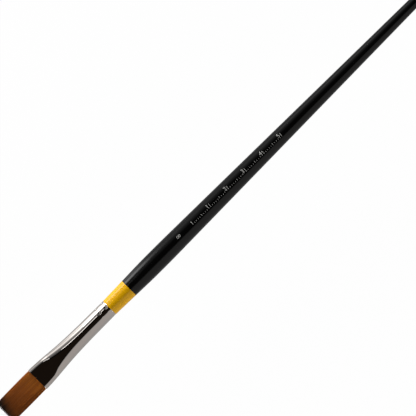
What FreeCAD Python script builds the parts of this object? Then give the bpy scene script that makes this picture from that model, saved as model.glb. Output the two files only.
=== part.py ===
"""Long-handled flat paint brush, as a parametric FreeCAD document.

The brush lies along X with its bristles towards -X and its broad faces towards +Z and -Z. Each piece is
drawn with the ferrule's mouth at x = 0 and the brush's axis at z = 0. PLACE_X and PLACE_Z then carry it to
the part's own frame, whose origin is under the middle of the brush, level with the lowest point of its belly.
Lengths are in millimetres.
"""

import FreeCAD
import Part
import Sketcher
import math
import os

# Driving sizes, one cell of the sheet each: name, value, what it is.
SIZES = [
    ("tuft_reach", 18.8, "free length of the filaments ahead of the ferrule's mouth"),
    ("tuft_swell_at", 6.5, "distance from the mouth to the thickest part of the tuft"),
    ("tuft_swell_thickness", 2.7, "thickness of the tuft there"),
    ("tuft_edge_width", 9.9, "width of the tuft along its square-cut end"),
    ("tuft_edge_thickness", 0.9, "thickness of the chisel edge at that end"),
    ("root_depth", 16.0, "length of filament held inside the ferrule"),
    ("plug_length", 4.0, "depth of the resin behind the filament butts"),
    ("flex_ahead", 0.7, "distance from the mouth to the line that the tuft bends about"),
    ("flex_clearance", 0.05, "running clearance between the bending tuft and its seat"),
    ("ferrule_length", 40.8, "length of the ferrule"),
    ("ferrule_wall", 0.2, "thickness of its wall"),
    ("mouth_width", 10.52, "outside width of the pressed mouth"),
    ("mouth_thickness", 3.0, "outside thickness of the pressed mouth"),
    ("lip_length", 5.0, "length of the nearly even pressed lip behind the mouth"),
    ("lip_press", 0.87, "how much of the mouth's flatness is left at the end of the lip"),
    ("funnel_press", 0.44, "the same, a third of the way from the lip to the round tube"),
    ("throat_press", 0.13, "the same, two thirds of the way"),
    ("round_from", 28.4, "distance from the mouth to where the tube is round"),
    ("round_diameter", 7.54, "outside diameter of the tube there"),
    ("crown_width", 1.0, "width of the strip that the broad face narrows to there"),
    ("collar_diameter", 7.32, "outside diameter of the tube at its handle end"),
    ("crimp_count", 8, "dents in each crimp ring"),
    ("crimp_radius", 2.4, "radius of the crimping punch's nose"),
    ("crimp_depth", 0.18, "depth of a crimp dent"),
    ("crimp_inset", 1.2, "distance from the ferrule's handle end to the first crimp ring"),
    ("crimp_spacing", 3.2, "distance between the two crimp rings"),
    ("tenon_length", 12.0, "length of the handle's tenon inside the ferrule"),
    ("glue_thickness", 0.08, "thickness of the glue round the tenon"),
    ("lacquer_thickness", 0.12, "thickness of the dipped lacquer"),
    ("band_length", 11.0, "length of the yellow band"),
    ("neck_diameter", 7.4, "diameter of the lacquered neck at the ferrule"),
    ("band_end_diameter", 8.0, "diameter of the lacquered neck where the black begins"),
    ("shoulder_length", 10.2, "distance from the yellow band to the belly"),
    ("belly_length", 11.2, "length of the even belly, where the brush is held"),
    ("belly_diameter", 8.66, "diameter of the lacquered belly"),
    ("taper_length", 208.0, "distance from the belly to the tail end"),
    ("tail_diameter", 2.6, "diameter of the lacquered tail before its rounded end"),
    ("tail_dome", 1.2, "depth of the tail's rounded end"),
]


def size_of(name):
    return "Sizes." + name


# Stations along the brush and places across it, as expressions on the sheet.
BAND_END = "(Sizes.ferrule_length + Sizes.band_length)"
BELLY_START = f"({BAND_END} + Sizes.shoulder_length)"
BELLY_END = f"({BELLY_START} + Sizes.belly_length)"
TAIL_END = f"({BELLY_END} + Sizes.taper_length)"
TAIL_ROUND_START = f"({TAIL_END} - Sizes.tail_dome)"
TENON_START = "(Sizes.ferrule_length - Sizes.tenon_length)"
PLACE_X = f"0.5 * (Sizes.tuft_reach - {TAIL_END})"
PLACE_Z = "0.5 * Sizes.belly_diameter"
BORE_MOUTH_THICKNESS = "(Sizes.mouth_thickness - 2 * Sizes.ferrule_wall)"
BORE_MOUTH_WIDTH = "(Sizes.mouth_width - 2 * Sizes.ferrule_wall)"
TUFT_ROOT_THICKNESS = f"({BORE_MOUTH_THICKNESS} - 2 * Sizes.flex_clearance)"
TUFT_ROOT_WIDTH = f"({BORE_MOUTH_WIDTH} - 2 * Sizes.flex_clearance)"
GLUE_INSET = "(Sizes.ferrule_wall + Sizes.glue_thickness)"
LACQUER = "Sizes.lacquer_thickness"
FIRST_CRIMP = "(Sizes.ferrule_length - Sizes.crimp_inset)"
SECOND_CRIMP = f"({FIRST_CRIMP} - Sizes.crimp_spacing)"
# How far round from the middle of the broad face the first dent of each ring lies.
CRIMP_TURN = "19 deg"


def tube_radius(station):
    """Outside radius of the ferrule's round, slightly conical tube at a station along the brush."""
    share = f"(Sizes.ferrule_length - {station}) / (Sizes.ferrule_length - Sizes.round_from)"
    return f"(0.5 * (Sizes.collar_diameter + (Sizes.round_diameter - Sizes.collar_diameter) * {share}))"


doc = FreeCAD.newDocument("PaintBrush")
sheet = doc.addObject("Spreadsheet::Sheet", "Sizes")
for row, (name, value, meaning) in enumerate(SIZES, start=1):
    sheet.set(f"A{row}", name)
    sheet.set(f"B{row}", str(value))
    sheet.setAlias(f"B{row}", name)
    sheet.set(f"C{row}", meaning)
doc.recompute()


def value_of(expression):
    """The number that an expression on the sheet comes to."""
    return float(sheet.evalExpression(expression))


def place(piece):
    """Carries a piece from the mouth's frame to the row frame."""
    piece.setExpression("Placement.Base.x", PLACE_X)
    piece.setExpression("Placement.Base.z", PLACE_Z)


def new_body(name):
    body = doc.addObject("PartDesign::Body", name)
    body.Label = name
    place(body)
    return body


def origin_feature(body, role):
    return next(item for item in body.Origin.OriginFeatures if item.Role == role)


def new_sketch(body, name, plane):
    sketch = body.newObject("Sketcher::SketchObject", name)
    sketch.AttachmentSupport = (origin_feature(body, plane), [""])
    sketch.MapMode = "FlatFace"
    return sketch


def bind(sketch, name, constraint, expression):
    """Adds a dimension to a sketch and binds it to an expression on the sheet."""
    index = sketch.addConstraint(constraint)
    sketch.renameConstraint(index, name)
    sketch.setExpression("Constraints." + name, expression)


def vector(x, y):
    return FreeCAD.Vector(x, y, 0)


def arc(centre, radius, start_degrees, end_degrees):
    """An arc that runs anticlockwise."""
    circle = Part.Circle(centre, FreeCAD.Vector(0, 0, 1), radius)
    return Part.ArcOfCircle(circle, math.radians(start_degrees), math.radians(end_degrees))


# Sections across the brush


def oval_section(body, name, station, width, thickness):
    """A flat-sided oval across the brush: two broad flats joined by round ends."""
    sketch = new_sketch(body, name, "YZ_Plane")
    sketch.setExpression("AttachmentOffset.Base.z", station)
    radius = 0.5 * value_of(thickness)
    reach = 0.5 * value_of(width) - radius
    sketch.addGeometry(
        [
            Part.LineSegment(vector(reach, radius), vector(-reach, radius)),
            arc(vector(-reach, 0), radius, 90, 270),
            Part.LineSegment(vector(-reach, -radius), vector(reach, -radius)),
            arc(vector(reach, 0), radius, -90, 90),
        ]
    )
    for edge in range(4):
        sketch.addConstraint(Sketcher.Constraint("Tangent", edge, 2, (edge + 1) % 4, 1))
    sketch.addConstraint(Sketcher.Constraint("Horizontal", 0))
    sketch.addConstraint(Sketcher.Constraint("PointOnObject", 3, 3, -1))
    sketch.addConstraint(Sketcher.Constraint("Symmetric", 1, 3, 3, 3, -1, 1))
    centres = Sketcher.Constraint("DistanceX", 1, 3, 3, 3, 2 * reach)
    bind(sketch, "centres", centres, f"{width} - {thickness}")
    bind(sketch, "end_radius", Sketcher.Constraint("Radius", 3, radius), f"0.5 * {thickness}")
    return sketch


def round_section(body, name, station, diameter):
    """A circle across the brush in four arcs, to match the four edges of an oval section."""
    sketch = new_sketch(body, name, "YZ_Plane")
    sketch.setExpression("AttachmentOffset.Base.z", station)
    radius = 0.5 * value_of(diameter)
    crown = math.degrees(math.asin(0.5 * value_of(size_of("crown_width")) / radius))
    corners = [90 - crown, 90 + crown, 270 - crown, 270 + crown, 450 - crown]
    for start, end in zip(corners, corners[1:]):
        sketch.addGeometry(arc(vector(0, 0), radius, start, end))
    for edge in range(4):
        sketch.addConstraint(Sketcher.Constraint("Coincident", edge, 2, (edge + 1) % 4, 1))
    for edge in range(3):
        sketch.addConstraint(Sketcher.Constraint("Coincident", edge, 3, -1, 1))
    sketch.addConstraint(Sketcher.Constraint("Equal", 0, 3))
    sketch.addConstraint(Sketcher.Constraint("Horizontal", 0, 1, 0, 2))
    sketch.addConstraint(Sketcher.Constraint("Horizontal", 2, 1, 2, 2))
    sketch.addConstraint(Sketcher.Constraint("Vertical", 0, 1, 2, 2))
    bind(sketch, "radius", Sketcher.Constraint("Radius", 0, radius), f"0.5 * {diameter}")
    crown_width = Sketcher.Constraint("DistanceX", 0, 2, 0, 1, value_of(size_of("crown_width")))
    bind(sketch, "crown_width", crown_width, size_of("crown_width"))
    return sketch


def loft(body, name, sections):
    feature = body.newObject("PartDesign::AdditiveLoft", name)
    feature.Profile = sections[0]
    feature.Sections = sections[1:]
    return feature


# Outlines turned about the brush's axis


def turned(body, name, corners, domes=()):
    """Turns a closed outline about the brush's axis. Its corners are (station, radius) expressions, in order.
    An edge whose number is in domes is an arc centred on the axis, which ends a piece in a rounded nose."""
    sketch = new_sketch(body, name + "_outline", "XZ_Plane")
    points = [vector(value_of(station), value_of(radius)) for station, radius in corners]
    count = len(points)
    for edge in range(count):
        start, end = points[edge], points[(edge + 1) % count]
        sketch.addGeometry(dome_arc(start, end) if edge in domes else Part.LineSegment(start, end))
    # A sketch keeps every arc anticlockwise, so an arc drawn outwards along the axis has its ends swapped.
    ends = [(2, 1) if edge in domes and points[edge].y > 0 else (1, 2) for edge in range(count)]
    for edge in range(count):
        after = (edge + 1) % count
        sketch.addConstraint(Sketcher.Constraint("Coincident", edge, ends[edge][1], after, ends[after][0]))
    for edge, (station, radius) in enumerate(corners):
        at = ends[edge][0]
        along = Sketcher.Constraint("DistanceX", -1, 1, edge, at, points[edge].x)
        bind(sketch, f"station_{edge}", along, station)
        if radius == "0":
            sketch.addConstraint(Sketcher.Constraint("PointOnObject", edge, at, -1))
        else:
            across = Sketcher.Constraint("DistanceY", -1, 1, edge, at, points[edge].y)
            bind(sketch, f"radius_{edge}", across, radius)
    for edge in domes:
        sketch.addConstraint(Sketcher.Constraint("PointOnObject", edge, 3, -1))
    feature = body.newObject("PartDesign::Revolution", name)
    feature.Profile = sketch
    feature.ReferenceAxis = (sketch, ["H_Axis"])
    feature.Angle = 360
    return feature


def dome_arc(start, end):
    """The arc between a point off the axis and one on it, centred on the axis."""
    nose, rim = (start, end) if start.y == 0 else (end, start)
    depth = nose.x - rim.x
    radius = (rim.y**2 + depth**2) / (2 * depth)
    rim_angle = math.degrees(math.atan2(rim.y, rim.x - nose.x + radius))
    return arc(vector(nose.x - radius, 0), radius, 0, rim_angle)


# Crimp dents


def crimp_rings(body, inset):
    """Presses both rings of dents into a body whose surface lies inset inside the ferrule's."""
    for ring, station in enumerate((FIRST_CRIMP, SECOND_CRIMP), start=1):
        punch = body.newObject("PartDesign::SubtractiveSphere", f"crimp_punch_{ring}")
        punch.AttachmentSupport = (origin_feature(body, "XY_Plane"), [""])
        punch.MapMode = "FlatFace"
        punch.setExpression("Radius", f"Sizes.crimp_radius + {inset}")
        punch.setExpression("AttachmentOffset.Base.x", station)
        reach = f"({tube_radius(station)} + Sizes.crimp_radius - Sizes.crimp_depth)"
        punch.setExpression("AttachmentOffset.Base.y", f"{reach} * sin({CRIMP_TURN})")
        punch.setExpression("AttachmentOffset.Base.z", f"{reach} * cos({CRIMP_TURN})")
        dents = body.newObject("PartDesign::PolarPattern", f"crimp_ring_{ring}")
        dents.Originals = [punch]
        dents.Axis = (origin_feature(body, "X_Axis"), [""])
        dents.Angle = 360
        dents.setExpression("Occurrences", size_of("crimp_count"))
        body.Tip = dents


# The ferrule


def ferrule_solid(name, inset):
    """The ferrule's outer form shrunk by inset all round: its pressed funnel, round tube and crimp dents."""
    body = new_body(name)
    twice = f"2 * {inset}"
    funnel = "(Sizes.round_from - Sizes.lip_length)"
    stations = [
        ("mouth", "0", "1"),
        ("lip", "Sizes.lip_length", "Sizes.lip_press"),
        ("funnel", f"(Sizes.lip_length + {funnel} / 3)", "Sizes.funnel_press"),
        ("throat", f"(Sizes.lip_length + 2 * {funnel} / 3)", "Sizes.throat_press"),
    ]
    sections = []
    for part, station, press in stations:
        spread = f"{press} * (Sizes.mouth_width - Sizes.round_diameter)"
        squeeze = f"{press} * (Sizes.round_diameter - Sizes.mouth_thickness)"
        width = f"(Sizes.round_diameter + {spread} - {twice})"
        thickness = f"(Sizes.round_diameter - {squeeze} - {twice})"
        sections.append(oval_section(body, f"{part}_section", station, width, thickness))
    tube_diameter = f"(Sizes.round_diameter - {twice})"
    sections.append(round_section(body, "round_section", "Sizes.round_from", tube_diameter))
    loft(body, "pressed_funnel", sections)
    corners = [
        ("Sizes.round_from", "0"),
        ("Sizes.round_from", f"({tube_radius('Sizes.round_from')} - {inset})"),
        ("Sizes.ferrule_length", f"({tube_radius('Sizes.ferrule_length')} - {inset})"),
        ("Sizes.ferrule_length", "0"),
    ]
    body.Tip = turned(body, "round_tube", corners)
    crimp_rings(body, inset)
    return body


def cut(name, base, tool):
    piece = doc.addObject("Part::Cut", name)
    piece.Label = name
    piece.Base = base
    piece.Tool = tool
    return piece


def common(name, first, second):
    piece = doc.addObject("Part::Common", name)
    piece.Label = name
    piece.Base = first
    piece.Tool = second
    return piece


def bore_fill(name, bore, start, length):
    """What fills the ferrule's bore from a station, over a length."""
    zone = doc.addObject("Part::Box", name + "_zone")
    zone.setExpression("Length", length)
    zone.setExpression("Width", "2 * Sizes.mouth_width")
    zone.setExpression("Height", "2 * Sizes.mouth_width")
    zone.setExpression("Placement.Base.x", f"{PLACE_X} + {start}")
    zone.setExpression("Placement.Base.y", "-Sizes.mouth_width")
    zone.setExpression("Placement.Base.z", f"{PLACE_Z} - Sizes.mouth_width")
    return common(name, bore, zone)


# The tuft and its roots


def flex_knuckle(body, name, clearance):
    """The handle's half of a round-ended roll across the brush, on the line that the tuft bends about. It is
    as wide and as thick as the bore's mouth, less clearance all round."""
    sketch = new_sketch(body, name + "_outline", "XY_Plane")
    sketch.setExpression("AttachmentOffset.Base.x", "-Sizes.flex_ahead")
    radius = f"(0.5 * {BORE_MOUTH_THICKNESS} - {clearance})"
    centres = f"(0.5 * ({BORE_MOUTH_WIDTH} - {BORE_MOUTH_THICKNESS}))"
    r, reach = value_of(radius), value_of(centres)
    sketch.addGeometry(
        [
            Part.LineSegment(vector(0, reach + r), vector(0, -reach - r)),
            arc(vector(0, -reach), r, 270, 360),
            Part.LineSegment(vector(r, -reach), vector(r, reach)),
            arc(vector(0, reach), r, 0, 90),
        ]
    )
    for first, second in ((0, 1), (3, 0)):
        sketch.addConstraint(Sketcher.Constraint("Coincident", first, 2, second, 1))
    for first, second in ((1, 2), (2, 3)):
        sketch.addConstraint(Sketcher.Constraint("Tangent", first, 2, second, 1))
    for edge in (1, 3):
        sketch.addConstraint(Sketcher.Constraint("PointOnObject", edge, 3, -2))
    for edge, point in ((0, 1), (0, 2)):
        sketch.addConstraint(Sketcher.Constraint("PointOnObject", edge, point, -2))
    sketch.addConstraint(Sketcher.Constraint("Symmetric", 2, 1, 2, 2, -1))
    bind(sketch, "half_reach", Sketcher.Constraint("DistanceY", -1, 1, 3, 3, reach), centres)
    bind(sketch, "roll_radius", Sketcher.Constraint("Radius", 3, r), radius)
    feature = body.newObject("PartDesign::Revolution", name)
    feature.Profile = sketch
    feature.ReferenceAxis = (sketch, ["V_Axis"])
    feature.Angle = 180
    feature.Midplane = True
    body.Tip = feature
    return body


def bristle_tuft():
    """The free filaments: full at the root, thinning to a chisel edge, with a roll at the root to bend on."""
    body = new_body("bristle_tuft")
    swell_width = f"(0.5 * ({TUFT_ROOT_WIDTH} + Sizes.tuft_edge_width))"
    stations = [
        ("root", "-Sizes.flex_ahead", TUFT_ROOT_WIDTH, TUFT_ROOT_THICKNESS),
        ("swell", "-Sizes.tuft_swell_at", swell_width, "Sizes.tuft_swell_thickness"),
        ("edge", "-Sizes.tuft_reach", "Sizes.tuft_edge_width", "Sizes.tuft_edge_thickness"),
    ]
    sections = []
    for part, station, width, thickness in stations:
        sections.append(oval_section(body, f"{part}_section", station, width, thickness))
    loft(body, "free_filaments", sections)
    return flex_knuckle(body, "flex_roll", "Sizes.flex_clearance")


# The handle


def lacquered(diameter):
    return f"(0.5 * Sizes.{diameter})"


def wood(diameter):
    return f"(0.5 * Sizes.{diameter} - {LACQUER})"


def handle_core():
    """The turned wood under the lacquer, with its tenon, which the crimps dent through the glue."""
    body = new_body("handle_core")
    corners = [
        (TENON_START, "0"),
        (TENON_START, f"({tube_radius(TENON_START)} - {GLUE_INSET})"),
        ("Sizes.ferrule_length", f"({tube_radius('Sizes.ferrule_length')} - {GLUE_INSET})"),
        ("Sizes.ferrule_length", wood("neck_diameter")),
        (BAND_END, wood("band_end_diameter")),
        (BELLY_START, wood("belly_diameter")),
        (BELLY_END, wood("belly_diameter")),
        (TAIL_ROUND_START, wood("tail_diameter")),
        (f"({TAIL_END} - {LACQUER})", "0"),
    ]
    body.Tip = turned(body, "turning", corners, domes=(7,))
    crimp_rings(body, GLUE_INSET)
    return body


def yellow_lacquer_band():
    body = new_body("yellow_lacquer_band")
    corners = [
        ("Sizes.ferrule_length", lacquered("neck_diameter")),
        (BAND_END, lacquered("band_end_diameter")),
        (BAND_END, wood("band_end_diameter")),
        ("Sizes.ferrule_length", wood("neck_diameter")),
    ]
    body.Tip = turned(body, "band_coat", corners)
    return body


def black_lacquer_coat():
    body = new_body("black_lacquer_coat")
    corners = [
        (BAND_END, lacquered("band_end_diameter")),
        (BELLY_START, lacquered("belly_diameter")),
        (BELLY_END, lacquered("belly_diameter")),
        (TAIL_ROUND_START, lacquered("tail_diameter")),
        (TAIL_END, "0"),
        (f"({TAIL_END} - {LACQUER})", "0"),
        (TAIL_ROUND_START, wood("tail_diameter")),
        (BELLY_END, wood("belly_diameter")),
        (BELLY_START, wood("belly_diameter")),
        (BAND_END, wood("band_end_diameter")),
    ]
    body.Tip = turned(body, "handle_coat", corners, domes=(3, 5))
    return body


outside = ferrule_solid("ferrule_outside", "0")
bore = ferrule_solid("ferrule_bore", "Sizes.ferrule_wall")
core = handle_core()
flex_seat = flex_knuckle(new_body("flex_seat"), "seat_roll", "0")
root_fill = bore_fill("root_fill", bore, "0", "Sizes.root_depth")
glue_fill = bore_fill("glue_fill", bore, TENON_START, "Sizes.tenon_length")
pieces = [
    bristle_tuft(),
    cut("filament_root_bundle", root_fill, flex_seat),
    bore_fill("epoxy_plug", bore, "Sizes.root_depth", "Sizes.plug_length"),
    cut("ferrule", outside, bore),
    cut("tenon_glue_film", glue_fill, core),
    core,
    yellow_lacquer_band(),
    black_lacquer_coat(),
]
doc.recompute()

for item in doc.Objects:
    if {"Invalid", "Error"} & set(item.State):
        raise RuntimeError(f"{item.Label} did not rebuild: {item.State}")
os.makedirs("parts", exist_ok=True)
for piece in pieces:
    shape = piece.Shape
    if shape.isNull() or not shape.isValid() or len(shape.Solids) != 1:
        raise RuntimeError(f"{piece.Label} is not one valid solid")
    shape.exportStep(f"parts/{piece.Label}.step")
    print(f"{piece.Label}: {shape.Volume:.2f} mm3, {shape.BoundBox}")
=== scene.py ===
"""Long-handled flat paint brush: its finished pieces, materials and studio.

This is a Blender add-on that is run as a script. The brush lies along X with its tuft towards -X and its
broad faces towards +Z and -Z. Lengths are in metres. Stations are distances along the brush, measured from
the ferrule's mouth towards the tail.
"""

import math
import random

import bmesh
import bpy
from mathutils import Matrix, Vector


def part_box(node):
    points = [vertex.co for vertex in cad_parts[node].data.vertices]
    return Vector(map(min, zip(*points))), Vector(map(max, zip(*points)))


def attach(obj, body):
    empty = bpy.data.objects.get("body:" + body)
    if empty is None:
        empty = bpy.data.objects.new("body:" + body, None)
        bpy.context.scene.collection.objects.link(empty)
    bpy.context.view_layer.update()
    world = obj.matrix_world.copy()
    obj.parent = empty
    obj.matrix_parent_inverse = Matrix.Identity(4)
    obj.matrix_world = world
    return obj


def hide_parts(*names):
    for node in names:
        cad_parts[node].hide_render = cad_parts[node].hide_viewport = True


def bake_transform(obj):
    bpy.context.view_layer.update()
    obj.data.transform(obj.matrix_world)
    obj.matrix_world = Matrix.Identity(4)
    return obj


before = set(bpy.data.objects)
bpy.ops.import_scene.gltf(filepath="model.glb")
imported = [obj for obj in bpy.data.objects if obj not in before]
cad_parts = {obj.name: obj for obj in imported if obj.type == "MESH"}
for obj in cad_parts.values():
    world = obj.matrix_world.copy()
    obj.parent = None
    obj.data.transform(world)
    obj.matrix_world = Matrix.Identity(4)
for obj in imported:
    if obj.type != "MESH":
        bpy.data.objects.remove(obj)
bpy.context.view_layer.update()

bl_info = {
    "name": "Flat Paint Brush",
    "version": (1, 0, 0),
    "blender": (4, 5, 0),
    "location": "3D View > Sidebar > Paint Brush",
    "description": "Makes a long-handled flat paint brush round its frame",
    "category": "Add Mesh",
}

MM = 0.001
# Two points nearer than this are one point.
SAME_PLACE = 1e-6

# Places that the frame gives.
MOUTH_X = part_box("ferrule")[0].x
COLLAR_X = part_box("ferrule")[1].x
MOUTH_WIDTH = 2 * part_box("ferrule")[1].y
TIP_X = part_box("bristle_tuft")[0].x
BORDER_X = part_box("yellow_lacquer_band")[1].x
BORDER_DIAMETER = 2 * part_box("yellow_lacquer_band")[1].y
BELLY_DIAMETER = 2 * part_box("black_lacquer_coat")[1].y
TAIL_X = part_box("black_lacquer_coat")[1].x
AXIS_Z = 0.5 * (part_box("black_lacquer_coat")[0].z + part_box("black_lacquer_coat")[1].z)


# The sizes and colours that a user would change


def setting(kind, **facts):
    """A function that makes one kind of setting from its name, description and default."""

    def make(name, description, default):
        return kind(name=name, description=description, default=default, **facts)

    return make


length = setting(bpy.props.FloatProperty, min=0, precision=5, unit="LENGTH")
coordinate = setting(bpy.props.FloatProperty, precision=5, unit="LENGTH")
tilt = setting(bpy.props.FloatProperty, subtype="ANGLE")
share = setting(bpy.props.FloatProperty, min=0, max=1, subtype="FACTOR")
lamp_power = setting(bpy.props.FloatProperty, min=0, precision=4, unit="POWER")
count = setting(bpy.props.IntProperty, min=1)
colour = setting(bpy.props.FloatVectorProperty, min=0, max=1, size=3, subtype="COLOR")


class TuftSettings(bpy.types.PropertyGroup):
    """The filaments of the tuft."""

    spacing: length("Spacing", "Distance between neighbouring filaments at the mouth", 0.16 * MM)
    thickness: length("Thickness", "Diameter of a filament at its root", 0.17 * MM)
    tip_thickness: length("Tip Thickness", "Diameter that a filament's even taper ends at", 0.08 * MM)
    swell_thickness: length("Swell Thickness", "Thickness of the tuft where it is fullest", 2.6 * MM)
    edge_thickness: length("Edge Thickness", "Thickness of the tuft at its chisel edge", 0.78 * MM)
    swell_width: length("Swell Width", "How far the tuft spreads past the bore at each side", 0.12 * MM)
    stray: length("Stray", "How far a filament bows from its neighbours", 0.06 * MM)
    dye_depth: length("Dye Depth", "Length of the dark points", 5.2 * MM)
    dye_slant: length("Dye Slant", "How much further the dark reaches at one side", 3.2 * MM)
    root_colour: colour("Root Colour", "Colour of the filaments at the ferrule", (0.45, 0.137, 0.012))
    body_colour: colour("Body Colour", "Colour of the filaments halfway", (0.335, 0.09, 0.009))
    tip_colour: colour("Tip Colour", "Colour of the dark points", (0.014, 0.008, 0.005))


class FerruleSettings(bpy.types.PropertyGroup):
    """The plated tube."""

    wall: length("Wall", "Thickness of the tube's wall", 0.2 * MM)
    mouth_thickness: length("Mouth Thickness", "Outside thickness of the pressed mouth", 3.0 * MM)
    round_from: length("Round From", "Station where the tube is round", 28.4 * MM)
    round_diameter: length("Round Diameter", "Outside diameter there", 7.54 * MM)
    collar_diameter: length("Collar Diameter", "Outside diameter at the handle end", 7.32 * MM)
    rim: length("Rim", "Rounding of the tube's edges", 0.045 * MM)
    crimp_count: count("Crimp Count", "Dents in each crimp ring", 8)
    crimp_turn: tilt("Crimp Turn", "Angle from the top to the first dent of a ring", math.radians(19))
    crimp_depth: length("Crimp Depth", "Depth of a crimp dent", 0.18 * MM)
    crimp_reach: length("Crimp Reach", "Radius of a crimp dent", 0.95 * MM)
    first_crimp: length("First Crimp", "Distance from the handle end to the first crimp ring", 1.2 * MM)
    crimp_spacing: length("Crimp Spacing", "Distance between the two crimp rings", 3.2 * MM)
    plating: colour("Plating", "Colour of the nickel plating", (0.9, 0.83, 0.78))


class HandleSettings(bpy.types.PropertyGroup):
    """The lacquered handle and its printing."""

    neck_diameter: length("Neck Diameter", "Diameter of the lacquered neck at the ferrule", 7.4 * MM)
    shoulder: length("Shoulder", "Distance from the border of the two lacquers to the belly", 10.2 * MM)
    belly: length("Belly", "Length of the even belly", 11.2 * MM)
    tail_diameter: length("Tail Diameter", "Diameter of the tail before its rounded end", 2.6 * MM)
    tail_dome: length("Tail Dome", "Depth of the tail's rounded end", 1.2 * MM)
    easing: length("Easing", "Half the length over which one slope runs into the next", 4 * MM)
    lacquer: length("Lacquer", "Thickness of the dipped lacquer", 0.12 * MM)
    yellow: colour("Yellow", "Colour of the yellow lacquer", (0.8, 0.42, 0.002))
    yellow_roughness: share("Yellow Roughness", "Roughness of the yellow lacquer", 0.2)
    black: colour("Black", "Colour of the black lacquer", (0.001, 0.001, 0.001))
    black_roughness: share("Black Roughness", "Roughness of the black lacquer", 0.17)
    ink: colour("Ink", "Colour of the printing", (0.42, 0.42, 0.4))
    ink_thickness: length("Ink Thickness", "Height of the printing over the lacquer", 0.02 * MM)
    ink_tilt: tilt("Ink Tilt", "Angle from the top to the middle of the printing", math.radians(8))
    size_station: length("Size Station", "Station of the size numeral", 80.3 * MM)
    size_height: length("Size Height", "Height of the size numeral", 1.9 * MM)
    scale_station: length("Scale Station", "Station where the scale begins", 88 * MM)
    scale_numbers: count("Scale Numbers", "Centimetres on the scale", 5)
    number_height: length("Number Height", "Height of the scale's numbers", 1.7 * MM)


class StudioSettings(bpy.types.PropertyGroup):
    """The camera, the lamps and the paper under the brush."""

    view_x: coordinate("View X", "Place along X that the camera looks at", -0.03444)
    view_y: coordinate("View Y", "Place along Y that the camera looks at", 0.000276)
    view_width: length("View Width", "Width of the picture at the brush", 0.1664)
    view_turn: tilt("View Turn", "Turn of the camera about the vertical", math.radians(-45.05))
    camera_height: length("Camera Height", "Height of the camera over the brush", 1.5)
    softbox_power: lamp_power("Softbox Power", "Power of the softbox beside the ferrule", 0.022)
    edge_power: lamp_power("Edge Power", "Power of the brightest of the softbox's edges", 0.0066)
    strip_power: lamp_power("Strip Power", "Power of the thin strip light", 0.0033)
    fill_power: lamp_power("Fill Power", "Power of the long light beside the handle", 0.0085)
    bright_end_power: lamp_power("Bright End Power", "Power of each light past an end, bright side", 3.6)
    dim_end_power: lamp_power("Dim End Power", "Power of each light past an end, dim side", 1.3)
    paper: colour("Paper", "Colour of the paper", (0.86, 0.86, 0.86))
    paper_drop: length("Paper Drop", "Room under the brush, which the tuft bends into", 12 * MM)


# Shader maths


class Wire:
    """An output of a shader node. Arithmetic on wires adds Math nodes."""

    def __init__(self, board, socket):
        self.board = board
        self.socket = socket

    def maths(self, operation, *values):
        inputs = dict(enumerate(values))
        return self.board.node("Math", {"operation": operation}, inputs)

    def __add__(self, other):
        return self.maths("ADD", self, other)

    __radd__ = __add__

    def __sub__(self, other):
        return self.maths("SUBTRACT", self, other)

    def __rsub__(self, other):
        return self.maths("SUBTRACT", other, self)

    def __mul__(self, other):
        return self.maths("MULTIPLY", self, other)

    __rmul__ = __mul__

    def at_least(self, other):
        return self.maths("MAXIMUM", self, other)

    def size(self):
        """The value without its sign."""
        return self.maths("ABSOLUTE", self)

    def angle_to(self, other):
        """The angle whose tangent is this over other, all the way round."""
        return self.maths("ARCTAN2", self, other)

    def step(self, start, end, low=0.0, high=1.0):
        """Eases from low to high as the value goes from start to end."""
        settings = {"interpolation_type": "SMOOTHSTEP"}
        inputs = {"Value": self, "From Min": start, "From Max": end, "To Min": low, "To Max": high}
        return self.board.node("MapRange", settings, inputs)


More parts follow.
